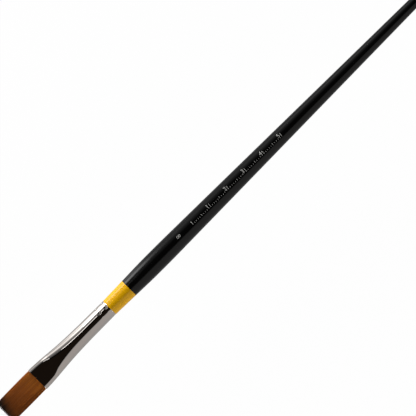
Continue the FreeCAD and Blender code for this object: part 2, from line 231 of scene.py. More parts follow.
class Board:
    """The node tree of one material or world."""

    def __init__(self, owner):
        owner.use_nodes = True
        self.owner = owner
        self.tree = owner.node_tree
        self.tree.nodes.clear()

    def node(self, kind, settings=None, inputs=None, output=0):
        """Adds a node, with its settings first and then the values or wires of its inputs."""
        node = self.tree.nodes.new("ShaderNode" + kind)
        for name, value in (settings or {}).items():
            setattr(node, name, value)
        for name, value in (inputs or {}).items():
            if isinstance(value, Wire):
                self.tree.links.new(value.socket, node.inputs[name])
            else:
                node.inputs[name].default_value = value
        return Wire(self, node.outputs[output])

    def attribute(self, name):
        """A value that the mesh holds at each of its points."""
        return self.node("Attribute", {"attribute_name": name}, output="Fac")

    def is_ray(self, kind):
        """1 where the light path is of a kind, such as Camera, and 0 elsewhere."""
        return self.node("LightPath", output=f"Is {kind} Ray")

    def part_of(self, vector, axis):
        """The X, Y or Z of a vector."""
        return self.node("SeparateXYZ", inputs={"Vector": vector}, output=axis)

    def noise(self, scale, detail=2.0, roughness=0.5):
        """Cloudy noise from 0 to 1, with about scale patches in a metre along each axis."""
        spot = self.node("TexCoord", output="Object")
        spot = self.node("Mapping", {"vector_type": "POINT"}, {"Vector": spot, "Scale": scale})
        inputs = {"Vector": spot, "Scale": 1.0, "Detail": detail, "Roughness": roughness}
        return self.node("TexNoise", inputs=inputs)

    def blend(self, factor, first, second):
        """A colour between two colours."""
        settings = {"data_type": "RGBA"}
        return self.node("Mix", settings, {"Factor": factor, 6: first, 7: second}, output=2)

    def bump(self, height, distance):
        """A normal for a relief whose height runs from 0 to 1 and stands distance metres high."""
        return self.node("Bump", inputs={"Height": height, "Distance": distance, "Strength": 1.0})

    def mix(self, factor, first, second):
        """A shader between two shaders."""
        return self.node("MixShader", inputs={0: factor, 1: first, 2: second})

    def finish(self, surface, kind="Material"):
        """Links the finished surface to the output, and returns the material or world."""
        output = self.tree.nodes.new("ShaderNodeOutput" + kind)
        self.tree.links.new(surface.socket, output.inputs["Surface"])
        return self.owner

    def principled(self, inputs):
        """Finishes a material as one principled surface, and returns it."""
        return self.finish(self.node("BsdfPrincipled", inputs=inputs))


def material_board(name):
    return Board(bpy.data.materials.new(name))


def opaque(tint, by=1.0):
    """A node's colour from a setting's, made darker or paler by a factor."""
    return (*(by * part for part in tint), 1.0)


def give(piece, material):
    piece.data.materials.clear()
    piece.data.materials.append(material)


# The finishes


# How high or deep the fine relief of each finish is.
DRAW_LINE_RELIEF = 0.0012 * MM
STRAND_RELIEF = 0.04 * MM
PEEL_RELIEF = 0.003 * MM
INK_RELIEF = 0.004 * MM
PORE_DEPTH = 0.02 * MM
BUBBLE_DEPTH = 0.02 * MM

PALE_WOOD = (0.56, 0.36, 0.19, 1)
DARK_WOOD = (0.4, 0.23, 0.11, 1)
WOOD_PORE = (0.2, 0.1, 0.045, 1)
AMBER = (0.5, 0.24, 0.05, 1)
CLOUDY_AMBER = (0.62, 0.4, 0.16, 1)
CREAM = (0.68, 0.6, 0.42, 1)
CLOUDY_CREAM = (0.74, 0.7, 0.58, 1)


def polished_nickel(settings):
    """Bright plating with faint draw lines along the tube and a few dull handling marks."""
    board = material_board("polished_nickel")
    lines = board.noise((60, 5200, 5200), 3.0, 0.6)
    marks = board.noise((420, 420, 420), 4.0, 0.62).step(0.58, 0.78)
    haze = board.noise((90, 90, 90), 2.0)
    tint = board.blend(haze.step(0.35, 0.75), opaque(settings.plating), opaque(settings.plating, 0.955))
    inputs = {
        "Base Color": tint,
        "Metallic": 1.0,
        "Roughness": 0.045 + 0.03 * lines + 0.07 * marks,
        "Normal": board.bump(lines, DRAW_LINE_RELIEF),
    }
    return board.principled(inputs)


def dyed_filament(settings):
    """Glossy nylon, brown at the root and dyed dark at the points, each filament in a tone of its own."""
    board = material_board("dyed_filament")
    along = board.attribute("along")
    tone = board.attribute("tone")
    dye = board.attribute("dye")
    uneven = along + 0.1 * (tone - 0.5)
    halfway = settings.body_colour
    body = board.blend(uneven.step(0.0, 0.45), opaque(settings.root_colour), opaque(halfway))
    body = board.blend(uneven.step(0.45, 0.85), body, opaque(halfway, 0.78))
    body = board.blend(tone.step(0.1, 0.9, 0.0, 0.5), body, opaque(halfway, 0.6))
    inputs = {
        "Base Color": board.blend(dye.step(0.0, 1.0), body, opaque(settings.tip_colour)),
        "Roughness": 0.45 + 0.12 * tone,
        "Specular IOR Level": 0.2,
    }
    return board.principled(inputs)


def packed_filament(settings):
    """The same filaments seen end on or packed side by side inside the ferrule, darkened between the strands
    by painted shade.
    """
    board = material_board("packed_filament")
    strands = board.noise((70, 6400, 6400), 2.0)
    # The dark between the strands is painted shade.
    painted_shade_gaps, faces = opaque(settings.body_colour, 0.25), opaque(settings.body_colour, 0.8)
    inputs = {
        "Base Color": board.blend(strands.step(0.3, 0.7), painted_shade_gaps, faces),
        "Roughness": 0.5,
        "Normal": board.bump(strands, STRAND_RELIEF),
    }
    return board.principled(inputs)


def gloss_lacquer(name, tint, thin_by, roughness):
    """Dipped lacquer with a slight orange peel and fine wiping marks, its tint changed where it is thin."""
    board = material_board(name)
    peel = board.noise((420, 420, 420), 2.0)
    flow = board.noise((60, 500, 500), 2.0)
    wipes = board.noise((2600, 300, 300), 3.0, 0.6).step(0.62, 0.8)
    inputs = {
        "Base Color": board.blend(flow.step(0.3, 0.8), opaque(tint), opaque(tint, thin_by)),
        "Roughness": roughness + 0.03 * peel + 0.04 * wipes,
        "Normal": board.bump(peel, PEEL_RELIEF),
    }
    return board.principled(inputs)


def printed_ink(settings):
    """Pale ink, a little patchy where it was stamped on the lacquer."""
    board = material_board("printed_ink")
    patches = board.noise((2400, 2400, 2400), 3.0, 0.6)
    inputs = {
        "Base Color": board.blend(patches.step(0.35, 0.75), opaque(settings.ink), opaque(settings.ink, 0.62)),
        "Roughness": 0.55 + 0.2 * patches,
        "Normal": board.bump(patches, INK_RELIEF),
    }
    return board.principled(inputs)


def turned_hardwood():
    """Close-grained pale wood with its grain along the handle."""
    board = material_board("turned_hardwood")
    rings = board.noise((14, 900, 620), 4.0, 0.55)
    pores = board.noise((380, 9000, 9000), 2.0).step(0.6, 0.74)
    wood = board.blend(rings.step(0.3, 0.7), PALE_WOOD, DARK_WOOD)
    inputs = {
        "Base Color": board.blend(0.5 * pores, wood, WOOD_PORE),
        "Roughness": 0.6 + 0.15 * rings,
        "Normal": board.bump(pores, -PORE_DEPTH),
    }
    return board.principled(inputs)


def cured_resin(name, tint, cloudy_tint):
    """Set resin or glue, cloudy where air was stirred in."""
    board = material_board(name)
    clouds = board.noise((700, 700, 700), 3.0)
    bubbles = board.noise((5200, 5200, 5200), 1.0).step(0.66, 0.74)
    inputs = {
        "Base Color": board.blend(clouds.step(0.3, 0.75), tint, cloudy_tint),
        "Roughness": 0.22 + 0.3 * bubbles,
        "Normal": board.bump(bubbles, -BUBBLE_DEPTH),
    }
    return board.principled(inputs)


# Modelling


def leave_selection():
    """Back to object mode with nothing selected, so that an operator acts on the next piece alone."""
    if bpy.context.object and bpy.context.object.mode != "OBJECT":
        bpy.ops.object.mode_set(mode="OBJECT")
    bpy.ops.object.select_all(action="DESELECT")


def pick(piece):
    """Selects one piece and nothing else, in object mode."""
    leave_selection()
    bpy.context.view_layer.objects.active = piece
    piece.select_set(True)


def edit(piece, kind="VERT"):
    """Opens a piece in edit mode with nothing selected."""
    pick(piece)
    bpy.ops.object.mode_set(mode="EDIT")
    bpy.ops.mesh.select_mode(type=kind)
    bpy.ops.mesh.select_all(action="DESELECT")
    return bmesh.from_edit_mesh(piece.data)


def settle(piece, name):
    """Names a piece and moves its place, turn and scale into its mesh."""
    pick(piece)
    bpy.ops.object.transform_apply(location=True, rotation=True, scale=True)
    piece.name = name
    piece.data.name = name
    return piece


def select_verts(mesh, wanted):
    """Selects the points of a mesh in edit mode that wanted says yes to, and no others."""
    bpy.ops.mesh.select_all(action="DESELECT")
    for vert in mesh.verts:
        vert.select = wanted(vert)
    mesh.select_flush_mode()


def apply_modifier(piece, kind, **settings):
    pick(piece)
    bpy.ops.object.modifier_add(type=kind)
    modifier = piece.modifiers[-1]
    for name, value in settings.items():
        setattr(modifier, name, value)
    bpy.ops.object.modifier_apply(modifier=modifier.name)


def select_whole():
    bpy.ops.mesh.select_all(action="SELECT")


def extrude(x, y=0.0, z=0.0):
    """Extrudes what is selected and moves it by a distance."""
    bpy.ops.mesh.extrude_region_move(TRANSFORM_OT_translate={"value": (x, y, z)})


def merge_and_face_out():
    """Merges doubled points of the piece in edit mode and turns its faces outwards."""
    select_whole()
    bpy.ops.mesh.remove_doubles(threshold=SAME_PLACE)
    bpy.ops.mesh.normals_make_consistent(inside=False)


def smooth_edges_under(piece, degrees):
    pick(piece)
    bpy.ops.object.shade_smooth_by_angle(angle=math.radians(degrees))
    leave_selection()


def eased(stops, at):
    """A smooth line through stops, each (place, value), read at a place."""
    if at <= stops[0][0]:
        return stops[0][1]
    if at >= stops[-1][0]:
        return stops[-1][1]
    after = next(i for i, stop in enumerate(stops) if stop[0] > at)

    def slope(i):
        if i in (0, len(stops) - 1):
            return 0.0
        before, here, beyond = stops[i - 1], stops[i], stops[i + 1]
        left = (here[1] - before[1]) / (here[0] - before[0])
        right = (beyond[1] - here[1]) / (beyond[0] - here[0])
        # The harmonic mean of the two slopes keeps the line from overshooting.
        return 0.0 if left * right <= 0 else 2 * left * right / (left + right)

    (x0, y0), (x1, y1) = stops[after - 1], stops[after]
    span = x1 - x0
    t = (at - x0) / span
    value = y0 * (2 * t**3 - 3 * t**2 + 1) + y1 * (3 * t**2 - 2 * t**3)
    return value + span * (slope(after - 1) * (t**3 - 2 * t**2 + t) + slope(after) * (t**3 - t**2))


# The ferrule


# The turn that faces a flat circle along the brush.
ACROSS = (0, math.radians(90), 0)
# How much of the mouth's flatness is left, by station in millimetres.
PRESS = ((0, 1.0), (2.5, 0.963), (5, 0.87), (7.6, 0.735), (10, 0.597), (12.8, 0.44))
PRESS += ((16, 0.285), (20.6, 0.13), (24, 0.062), (28.4, 0.0))
# Half the width of the flat on the ferrule's broad face, in millimetres.
FLAT = ((0, 3.38), (4.2, 3.34), (6, 3.22), (7.6, 2.62), (9.2, 1.68), (10.8, 1.2))
FLAT += ((12.4, 0.86), (14, 0.62), (17.2, 0.27), (20.4, 0.08), (24, 0.0))

# Points round the tube, and the distance between its rings of points: near the crimps and elsewhere.
TUBE_POINTS = 180
CRIMP_RING_STEP = 0.13 * MM
TUBE_RING_STEP = 0.55 * MM
# How far ahead of the crimps the closer rings start.
CRIMP_MARGIN = 1.1 * MM
# Edges that turn more sharply than this are the sharp ones of the tube's wall.
SHARP = math.radians(60)


def ferrule_section(settings, station):
    """Half the tube's flat, the reach of its rounded side past that, and half its thickness at a station."""
    round_diameter = settings.round_diameter
    if station >= settings.round_from:
        length_left = (COLLAR_X - MOUTH_X - station) / (COLLAR_X - MOUTH_X - settings.round_from)
        drop = round_diameter - settings.collar_diameter
        radius = 0.5 * (settings.collar_diameter + drop * max(0.0, length_left))
        return 0.0, radius, radius
    press = eased(PRESS, station / MM)
    half_width = 0.5 * (round_diameter + press * (MOUTH_WIDTH - round_diameter))
    half_thickness = 0.5 * (round_diameter - press * (round_diameter - settings.mouth_thickness))
    flat = eased(FLAT, station / MM) * MM
    return flat, half_width - flat, half_thickness


def ferrule_stations(settings):
    """Rings close together round the crimps and wider apart elsewhere."""
    total = COLLAR_X - MOUTH_X
    fine_from = total - settings.first_crimp - settings.crimp_spacing - CRIMP_MARGIN
    stations = [0.0]
    while stations[-1] < total - SAME_PLACE:
        step = CRIMP_RING_STEP if stations[-1] > fine_from else TUBE_RING_STEP
        stations.append(min(stations[-1] + step, total))
    return stations


def draw_half_tube(settings):
    """Draws half the tube, ring by ring from the mouth."""
    flat, side, half = ferrule_section(settings, 0.0)
    bpy.ops.mesh.primitive_circle_add(
        vertices=TUBE_POINTS, radius=half, location=(MOUTH_X, 0, AXIS_Z), rotation=ACROSS
    )
    tube = settle(bpy.context.object, "ferrule_tube")
    mesh = edit(tube)
    select_verts(mesh, lambda vert: vert.co.y < -SAME_PLACE)
    bpy.ops.mesh.delete(type="VERT")
    for vert in mesh.verts:
        if abs(vert.co.y) < SAME_PLACE:
            vert.co.y = 0.0
    select_verts(mesh, lambda vert: vert.co.y > SAME_PLACE)
    bpy.ops.transform.resize(value=(1, side / half, 1), center_override=(MOUTH_X, 0, AXIS_Z))
    bpy.ops.transform.translate(value=(0, flat, 0))
    select_whole()
    here = 0.0
    for station in ferrule_stations(settings)[1:]:
        next_flat, next_side, next_half = ferrule_section(settings, station)
        centre = (MOUTH_X + station, flat, AXIS_Z)
        extrude(station - here)
        bpy.ops.transform.resize(value=(1, 1, next_half / half), center_override=centre)
        seams = [vert for vert in mesh.verts if vert.select and vert.co.y < SAME_PLACE]
        for vert in seams:
            vert.select = False
        bpy.ops.transform.resize(value=(1, next_side / side, 1), center_override=centre)
        bpy.ops.transform.translate(value=(0, next_flat - flat, 0))
        for vert in seams:
            vert.select = True
        mesh.select_flush_mode()
        here, flat, side, half = station, next_flat, next_side, next_half
    return tube


def press_crimps(tube, settings):
    """Presses the two rings of dents: each dent is a push on one point that draws its neighbours along."""
    mesh = edit(tube)
    for ring in range(2):
        x = COLLAR_X - settings.first_crimp - ring * settings.crimp_spacing
        chosen = set()
        for dent in range(settings.crimp_count):
            angle = settings.crimp_turn + 2 * math.pi * dent / settings.crimp_count
            radius = 0.5 * settings.collar_diameter
            spot = Vector((x, radius * math.sin(angle), AXIS_Z + radius * math.cos(angle)))
            chosen.add(min(mesh.verts, key=lambda vert: (vert.co - spot).length_squared))
        select_verts(mesh, lambda vert: vert in chosen)
        bpy.ops.transform.shrink_fatten(
            value=-settings.crimp_depth,
            use_proportional_edit=True,
            proportional_edit_falloff="SMOOTH",
            proportional_size=settings.crimp_reach,
        )


def round_rims(tube, settings):
    """Rounds both sharp edges of the tube's wall at each end."""
    mesh = edit(tube, "EDGE")
    for edge in mesh.edges:
        ends = {round(vert.co.x / SAME_PLACE) for vert in edge.verts}
        at_end = ends in ({round(MOUTH_X / SAME_PLACE)}, {round(COLLAR_X / SAME_PLACE)})
        faces_turn = len(edge.link_faces) == 2 and edge.calc_face_angle() > SHARP
        edge.select = at_end and faces_turn
    bpy.ops.mesh.bevel(offset=settings.rim, segments=3, affect="EDGES", clamp_overlap=True)
    merge_and_face_out()


class PAINTBRUSH_OT_press_ferrule(bpy.types.Operator):
    """Makes the plated tube, pressed from round to flat and crimped on the handle"""

    bl_idname = "paintbrush.press_ferrule"
    bl_label = "Press Ferrule"

    def execute(self, context):
        settings = context.scene.paintbrush_ferrule
        leave_selection()
        tube = draw_half_tube(settings)
        leave_selection()
        apply_modifier(tube, "MIRROR", use_axis=(False, True, False), merge_threshold=SAME_PLACE)
        edit(tube)
        merge_and_face_out()
        press_crimps(tube, settings)
        apply_modifier(tube, "SOLIDIFY", thickness=settings.wall, offset=-1.0, use_rim=True)
        round_rims(tube, settings)
        smooth_edges_under(tube, 40)
        give(tube, polished_nickel(settings))
        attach(tube, "handle")
        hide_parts("ferrule")
        return {"FINISHED"}


# The tuft


# The sections of a filament: how far along it each is, and how much of the filament's even taper it keeps.
FILAMENT_SECTIONS = ((0, 1.0), (0.12, 1.0), (0.24, 0.995), (0.36, 0.98), (0.48, 0.955))
FILAMENT_SECTIONS += ((0.6, 0.92), (0.71, 0.87), (0.81, 0.79), (0.9, 0.71), (0.96, 0.61))
FILAMENT_SIDES = 5

# Room between the tuft and the bore, and between the longest filaments and the tip's plane.
TUFT_ROOM = 0.02 * MM
# How far the filaments reach into the ferrule.
TUCK = 0.6 * MM
# Distance between the staggered rows, and how far a root may stand from its place, as shares of the spacing.
ROW_SPACING = 0.87
JITTER = 0.16

# Where the tuft is fullest, and where it has thinned by half, as shares of its length.
FULLEST = 0.3
THINNED = 0.62
# How much fuller than halfway the tuft still is there.
FULLER = 1.04
# The tuft spreads over this first share of its length, and draws in again by this much of that to its edge.
SPREAD_OVER = 1 / 6
DRAW_IN = 0.9

TUFT_SEED = 8
# How far short of the edge a filament may end. A few are worn, and end between these lengths shorter still.
SHORTFALL = 0.9 * MM
WORN_SHARE = 0.04
WORN_SHORTFALL = (0.3 * MM, 1.6 * MM)
# How far a filament bows through the tuft's thickness and how far its tip strays, as shares of the stray.
BOW_THROUGH = 0.5
TIP_STRAY = 1.1
# How far neighbouring filaments lean together, and how many radians that wave turns in a metre.
LEAN = 0.12 * MM
LEAN_WAVE = 900

# How unevenly deep the dye reaches.
DYE_SPREAD = 0.45 * MM
# Lighter and darker streaks across the tuft: their strength and width, and how they drift.
STREAK = 0.22
STREAK_WIDTH = 0.31 * MM
STREAK_DRIFT = 1.3
DRIFT_WIDTH = 0.83 * MM
# How much the tone of one filament differs from its neighbours'.
TONE_SPREAD = 0.13


def draw_filament():
    """One straight filament of unit length from x = 0 to x = -1, tapering to a point."""
    bpy.ops.mesh.primitive_circle_add(vertices=FILAMENT_SIDES, radius=1.0, fill_type="NGON", rotation=ACROSS)
    filament = settle(bpy.context.object, "filament_tuft")
    edit(filament)
    select_whole()
    for (before, old), (here, new) in zip(FILAMENT_SECTIONS, FILAMENT_SECTIONS[1:]):
        extrude(before - here)
        bpy.ops.transform.resize(value=(1, new / old, new / old), center_override=(-here, 0, 0))
    extrude(FILAMENT_SECTIONS[-1][0] - 1)
    bpy.ops.mesh.merge(type="CENTER")
    select_whole()
    bpy.ops.mesh.normals_make_consistent(inside=False)
    leave_selection()
    return filament


def filament_roots(settings, flat, side, half, rng):
    """Places over the bore's mouth, across it and over its thickness, in staggered rows."""
    roots = []
    jitter = JITTER * settings.spacing
    rows = round(2 * half / (ROW_SPACING * settings.spacing))
    for row in range(rows + 1):
        z = -half + 2 * half * row / rows
        reach = flat + side * math.sqrt(max(0.0, 1 - (z / half) ** 2))
        columns = max(1, round(2 * reach / settings.spacing))
        for column in range(columns + 1 - row % 2):
            y = -reach + 2 * reach * (column + 0.5 * (row % 2)) / columns
            roots.append((y + rng.uniform(-jitter, jitter), z + rng.uniform(-jitter, jitter)))
    return roots


def tuft_half_thickness(settings, root_half, ahead):
    """Half the thickness of the tuft at a distance ahead of the mouth."""
    reach = MOUTH_X - TIP_X
    swell = 0.5 * settings.swell_thickness
    edge = 0.5 * settings.edge_thickness
    thinned = 0.5 * (swell + edge) * FULLER
    stops = ((0.0, root_half), (FULLEST * reach, swell), (THINNED * reach, thinned), (reach, edge))
    return eased(stops, ahead)


def lay_filament(verts, spot, mouth, settings, rng):
    """Bends and places one filament's points. Returns how far along each is, and how deep in the dye."""
    flat, side, half = mouth
    y0, z0 = spot
    half_width = flat + side
    reach = MOUTH_X - TIP_X
    short = rng.random() ** 3 * SHORTFALL
    if rng.random() < WORN_SHARE:
        short += rng.uniform(*WORN_SHORTFALL)
    full = reach - short - TUFT_ROOM + TUCK
    bow_y = rng.gauss(0, 1) * settings.stray
    bow_z = rng.gauss(0, BOW_THROUGH) * settings.stray
    tip_y = rng.gauss(0, TIP_STRAY) * settings.stray
    tip_y += LEAN * math.sin(LEAN_WAVE * y0) * y0 / half_width
    dye_from = reach - settings.dye_depth - 0.5 * settings.dye_slant * y0 / half_width
    dye_from += rng.gauss(0, 1) * DYE_SPREAD
    root_radius = 0.5 * settings.thickness
    tip_radius = 0.5 * settings.tip_thickness
    depths = []
    for vert in verts:
        ahead = -vert.co.x * full - TUCK
        along = max(0.0, ahead) / reach
        depths.append((along, (ahead - dye_from) / settings.dye_depth))
        radius = root_radius + (tip_radius - root_radius) * along**1.5
        room = tuft_half_thickness(settings, half, max(0.0, ahead)) - radius
        spread = math.sin(0.5 * math.pi * min(1.0, along / SPREAD_OVER)) - DRAW_IN * along
        width = 1.0 + settings.swell_width / half_width * spread
        wave = math.sin(math.pi * along) * along
        y = y0 * width + bow_y * wave + tip_y * along**2
        z = z0 * room / (half - root_radius) + bow_z * wave
        vert.co = Vector((MOUTH_X - ahead, y + vert.co.y * radius, AXIS_Z + z + vert.co.z * radius))
    return depths


def filament_tone(spot, rng):
    """How light a filament is, from 0 to 1: near its neighbours' tone, in streaks across the tuft."""
    drift = STREAK_DRIFT * math.sin(spot[0] / DRIFT_WIDTH)
    streak = STREAK * math.sin(spot[0] / STREAK_WIDTH + drift)
    return min(1.0, max(0.0, rng.gauss(0.5 + streak, TONE_SPREAD)))


class PAINTBRUSH_OT_lay_filaments(bpy.types.Operator):
    """Makes one filament and lays its copies side by side from the ferrule's mouth to the chisel edge"""

    bl_idname = "paintbrush.lay_filaments"
    bl_label = "Lay Filaments"

    def execute(self, context):
        settings = context.scene.paintbrush_tuft
        ferrule = context.scene.paintbrush_ferrule
        rng = random.Random(TUFT_SEED)
        flat, side, half = ferrule_section(ferrule, 0.0)
        side -= ferrule.wall + TUFT_ROOM
        half -= ferrule.wall + TUFT_ROOM
        radius = 0.5 * settings.thickness
        spots = filament_roots(settings, flat, side - radius, half - radius, rng)
        leave_selection()
        tuft = draw_filament()
        apply_modifier(tuft, "ARRAY", count=len(spots), use_relative_offset=False)
        verts = tuft.data.vertices
        per_filament = len(verts) // len(spots)
        along = tuft.data.attributes.new("along", "FLOAT", "POINT")
        tone = tuft.data.attributes.new("tone", "FLOAT", "POINT")
        dye = tuft.data.attributes.new("dye", "FLOAT", "POINT")
        for number, spot in enumerate(spots):
            own = [verts[number * per_filament + i] for i in range(per_filament)]
            depths = lay_filament(own, spot, (flat, side, half), settings, rng)
            shade = filament_tone(spot, rng)
            for vert, (reached, dyed) in zip(own, depths):
                along.data[vert.index].value = reached
                tone.data[vert.index].value = shade
                dye.data[vert.index].value = dyed
        smooth_edges_under(tuft, 80)
        give(tuft, dyed_filament(settings))
        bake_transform(tuft)
        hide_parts("bristle_tuft")
        return {"FINISHED"}


# The handle


# Steps round the handle, over the easing of a corner, and over the tail's rounded end.
TURNING_STEPS = 128
EASING_STEPS = 12
DOME_STEPS = 9
# Distances between the points of the outlines along the band, the belly, the taper and the coat's inner side.
BAND_STEP = 0.8 * MM
BELLY_STEP = 0.9 * MM
TAPER_STEP = 6 * MM
INNER_STEP = 9 * MM
# How far the lacquer draws in at the band's edge, and the size of the black coat's rounded lip.
BAND_EDGE = 0.05 * MM
LIP = 0.06 * MM


def straight_radius(settings, x):
    """Radius of the lacquered handle where its slopes still meet in corners."""
    belly_x = BORDER_X + settings.shoulder
    corners = [
        (COLLAR_X, 0.5 * settings.neck_diameter),
        (BORDER_X, 0.5 * BORDER_DIAMETER),
        (belly_x, 0.5 * BELLY_DIAMETER),
        (belly_x + settings.belly, 0.5 * BELLY_DIAMETER),
        (TAIL_X - settings.tail_dome, 0.5 * settings.tail_diameter),
    ]
    for (x0, r0), (x1, r1) in zip(corners, corners[1:]):
        if x <= x1:
            return r0 + (r1 - r0) * (max(x, x0) - x0) / (x1 - x0)
    return corners[-1][1]


def handle_radius(settings, x):
    """Radius of the lacquered handle, each slope running smoothly into the next."""
    room = min(settings.easing, x - COLLAR_X, TAIL_X - settings.tail_dome - x)
    if room <= 0:
        return straight_radius(settings, x)
    places = [x + room * (2 * i / EASING_STEPS - 1) for i in range(EASING_STEPS + 1)]
    return sum(straight_radius(settings, place) for place in places) / len(places)


def draw_outline(points):
    """Draws a closed outline point by point from its first, in the plane y = 0."""
    first = points[0]
    bpy.ops.mesh.primitive_plane_add(size=SAME_PLACE, location=(first[0], 0, AXIS_Z + first[1]))
    piece = settle(bpy.context.object, "outline")
    edit(piece)
    select_whole()
    bpy.ops.mesh.merge(type="CENTER")
    for before, after in zip(points, points[1:]):
        extrude(after[0] - before[0], z=after[1] - before[1])
    mesh = bmesh.from_edit_mesh(piece.data)
    single = [vert for vert in mesh.verts if len(vert.link_edges) == 1]
    select_verts(mesh, lambda vert: vert in single)
    bpy.ops.mesh.edge_face_add()
    return piece


def turn_outline(points, name):
    """Turns a closed outline about the brush's axis, as on a lathe."""
    piece = draw_outline(points)
    select_whole()
    bpy.ops.mesh.spin(
        steps=TURNING_STEPS, angle=2 * math.pi, dupli=False, center=(0, 0, AXIS_Z), axis=(1, 0, 0)
    )
    merge_and_face_out()
    select_whole()
    bpy.ops.mesh.dissolve_degenerate(threshold=SAME_PLACE)
    settle(piece, name)
    smooth_edges_under(piece, 35)
    return piece


def stretch(start, end, step):
    """Places from start to end, about step apart."""
    pieces = max(1, round((end - start) / step))
    return [start + (end - start) * i / pieces for i in range(pieces + 1)]


def yellow_outline(settings):
    """The band's outline, drawn in a little at the ferrule by the drying lacquer."""
    start = handle_radius(settings, COLLAR_X)
    outer = [(COLLAR_X, start - BAND_EDGE), (COLLAR_X + 0.4 * BAND_EDGE, start - 0.55 * BAND_EDGE)]
    for x in stretch(COLLAR_X + 1.6 * BAND_EDGE, BORDER_X, BAND_STEP):
        outer.append((x, handle_radius(settings, x)))
    end = outer[-1][1]
    return outer + [(BORDER_X, end - settings.lacquer), (COLLAR_X, start - settings.lacquer)]


def black_outline(settings):
    """The black coat's outline: a rounded lip at the border, the belly, the long taper and the domed tail."""
    dome_start = TAIL_X - settings.tail_dome
    start = handle_radius(settings, BORDER_X)
    outer = [(BORDER_X, start - 0.5 * LIP), (BORDER_X + 0.3 * LIP, start - 0.12 * LIP)]
    belly_end = BORDER_X + settings.shoulder + settings.belly + 2 * settings.easing
    belly = stretch(BORDER_X + LIP, belly_end, BELLY_STEP)
    for x in belly + stretch(belly_end, dome_start, TAPER_STEP)[1:]:
        outer.append((x, handle_radius(settings, x)))
    rim = 0.5 * settings.tail_diameter
    ball = (rim**2 + settings.tail_dome**2) / (2 * settings.tail_dome)
    rim_angle = math.atan2(rim, ball - settings.tail_dome)
    for step in range(1, DOME_STEPS + 1):
        angle = rim_angle * (1 - step / DOME_STEPS)
        outer.append((TAIL_X - ball + ball * math.cos(angle), ball * math.sin(angle)))
    inner = [(TAIL_X - settings.lacquer, 0.0)]
    for x in reversed(stretch(BORDER_X, dome_start, INNER_STEP)):
        inner.append((x, handle_radius(settings, x) - settings.lacquer))
    return outer + inner


class PAINTBRUSH_OT_dip_handle(bpy.types.Operator):
    """Makes the two coats of lacquer on the turned handle"""

    bl_idname = "paintbrush.dip_handle"
    bl_label = "Dip Handle"

    def execute(self, context):
        settings = context.scene.paintbrush_handle
        leave_selection()
        band = turn_outline(yellow_outline(settings), "yellow_coat")
        give(band, gloss_lacquer("yellow_lacquer", settings.yellow, 0.92, settings.yellow_roughness))
        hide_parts("yellow_lacquer_band")
        coat = turn_outline(black_outline(settings), "black_coat")
        give(coat, gloss_lacquer("black_lacquer", settings.black, 1.5, settings.black_roughness))
        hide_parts("black_lacquer_coat")
        for piece in (band, coat):
            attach(piece, "handle")
        return {"FINISHED"}


# The printing


SIZE_NUMERAL = "8"
# The numeral stands across the handle, with its top towards the tail.
NUMERAL_TURN = math.radians(-90)
CENTIMETRE = 10 * MM
# The scale's ticks: how many there are in a centimetre, and how long and how wide they are.
TICKS = ((10, 0.5 * MM, 0.13 * MM), (2, 0.9 * MM, 0.15 * MM), (1, 1.7 * MM, 0.17 * MM))
# A number's place: how far ahead of its tick, and how far from the middle of the scale.
NUMBER_AHEAD = 1.1 * MM
NUMBER_UP = 0.35 * MM
# Height of the font's figures as a share of its size.
FIGURE_HEIGHT = 0.72


def wrap_on_handle(piece, settings):
    """Lays a flat print on the handle: its X goes along the brush and its Y round it, from the top line."""
    for vert in piece.data.vertices:
        x, across, height = vert.co
        radius = handle_radius(settings, MOUTH_X + x) + height
        angle = settings.ink_tilt + across / radius
        vert.co = Vector((MOUTH_X + x, radius * math.sin(angle), AXIS_Z + radius * math.cos(angle)))


def flat_text(words, height, station, across, turn=0.0):
    """Words as a flat mesh, centred on a station."""
    bpy.ops.object.text_add(location=(0, 0, 0))
    text = bpy.context.object
    text.data.body = words
    text.data.size = height / FIGURE_HEIGHT
    text.data.align_x = "CENTER"
    text.data.align_y = "CENTER"
    text.data.resolution_u = 4
    bpy.ops.object.convert(target="MESH")
    mesh = bpy.context.object
    mesh.rotation_euler = (0, 0, turn)
    mesh.location = (station, across, 0)
    return settle(mesh, "print_" + words)


def print_on_handle(parts, name, settings):
    """Joins flat pieces of print, gives them the ink's thickness and lays them on the handle."""
    leave_selection()
    for part in parts:
        part.select_set(True)
    bpy.context.view_layer.objects.active = parts[0]
    if len(parts) > 1:
        bpy.ops.object.join()
    piece = settle(bpy.context.object, name)
    edit(piece)
    select_whole()
    bpy.ops.mesh.remove_doubles(threshold=SAME_PLACE)
    bpy.ops.mesh.quads_convert_to_tris()
    extrude(0, z=settings.ink_thickness)
    select_whole()
    bpy.ops.mesh.subdivide(number_cuts=2)
    bpy.ops.mesh.normals_make_consistent(inside=False)
    leave_selection()
    wrap_on_handle(piece, settings)
    return piece


def tick_row(settings, pitch, number, tall, wide):
    """A row of equal ticks: one is drawn and an array copies it."""
    low = -0.5 * settings.number_height
    bpy.ops.mesh.primitive_plane_add(size=1.0, location=(settings.scale_station, low + 0.5 * tall, 0))
    tick = bpy.context.object
    tick.scale = (wide, tall, 1)
    settle(tick, "ticks")
    apply_modifier(
        tick,
        "ARRAY",
        count=number,
        use_relative_offset=False,
        use_constant_offset=True,
        constant_offset_displace=(pitch, 0, 0),
    )
    return tick


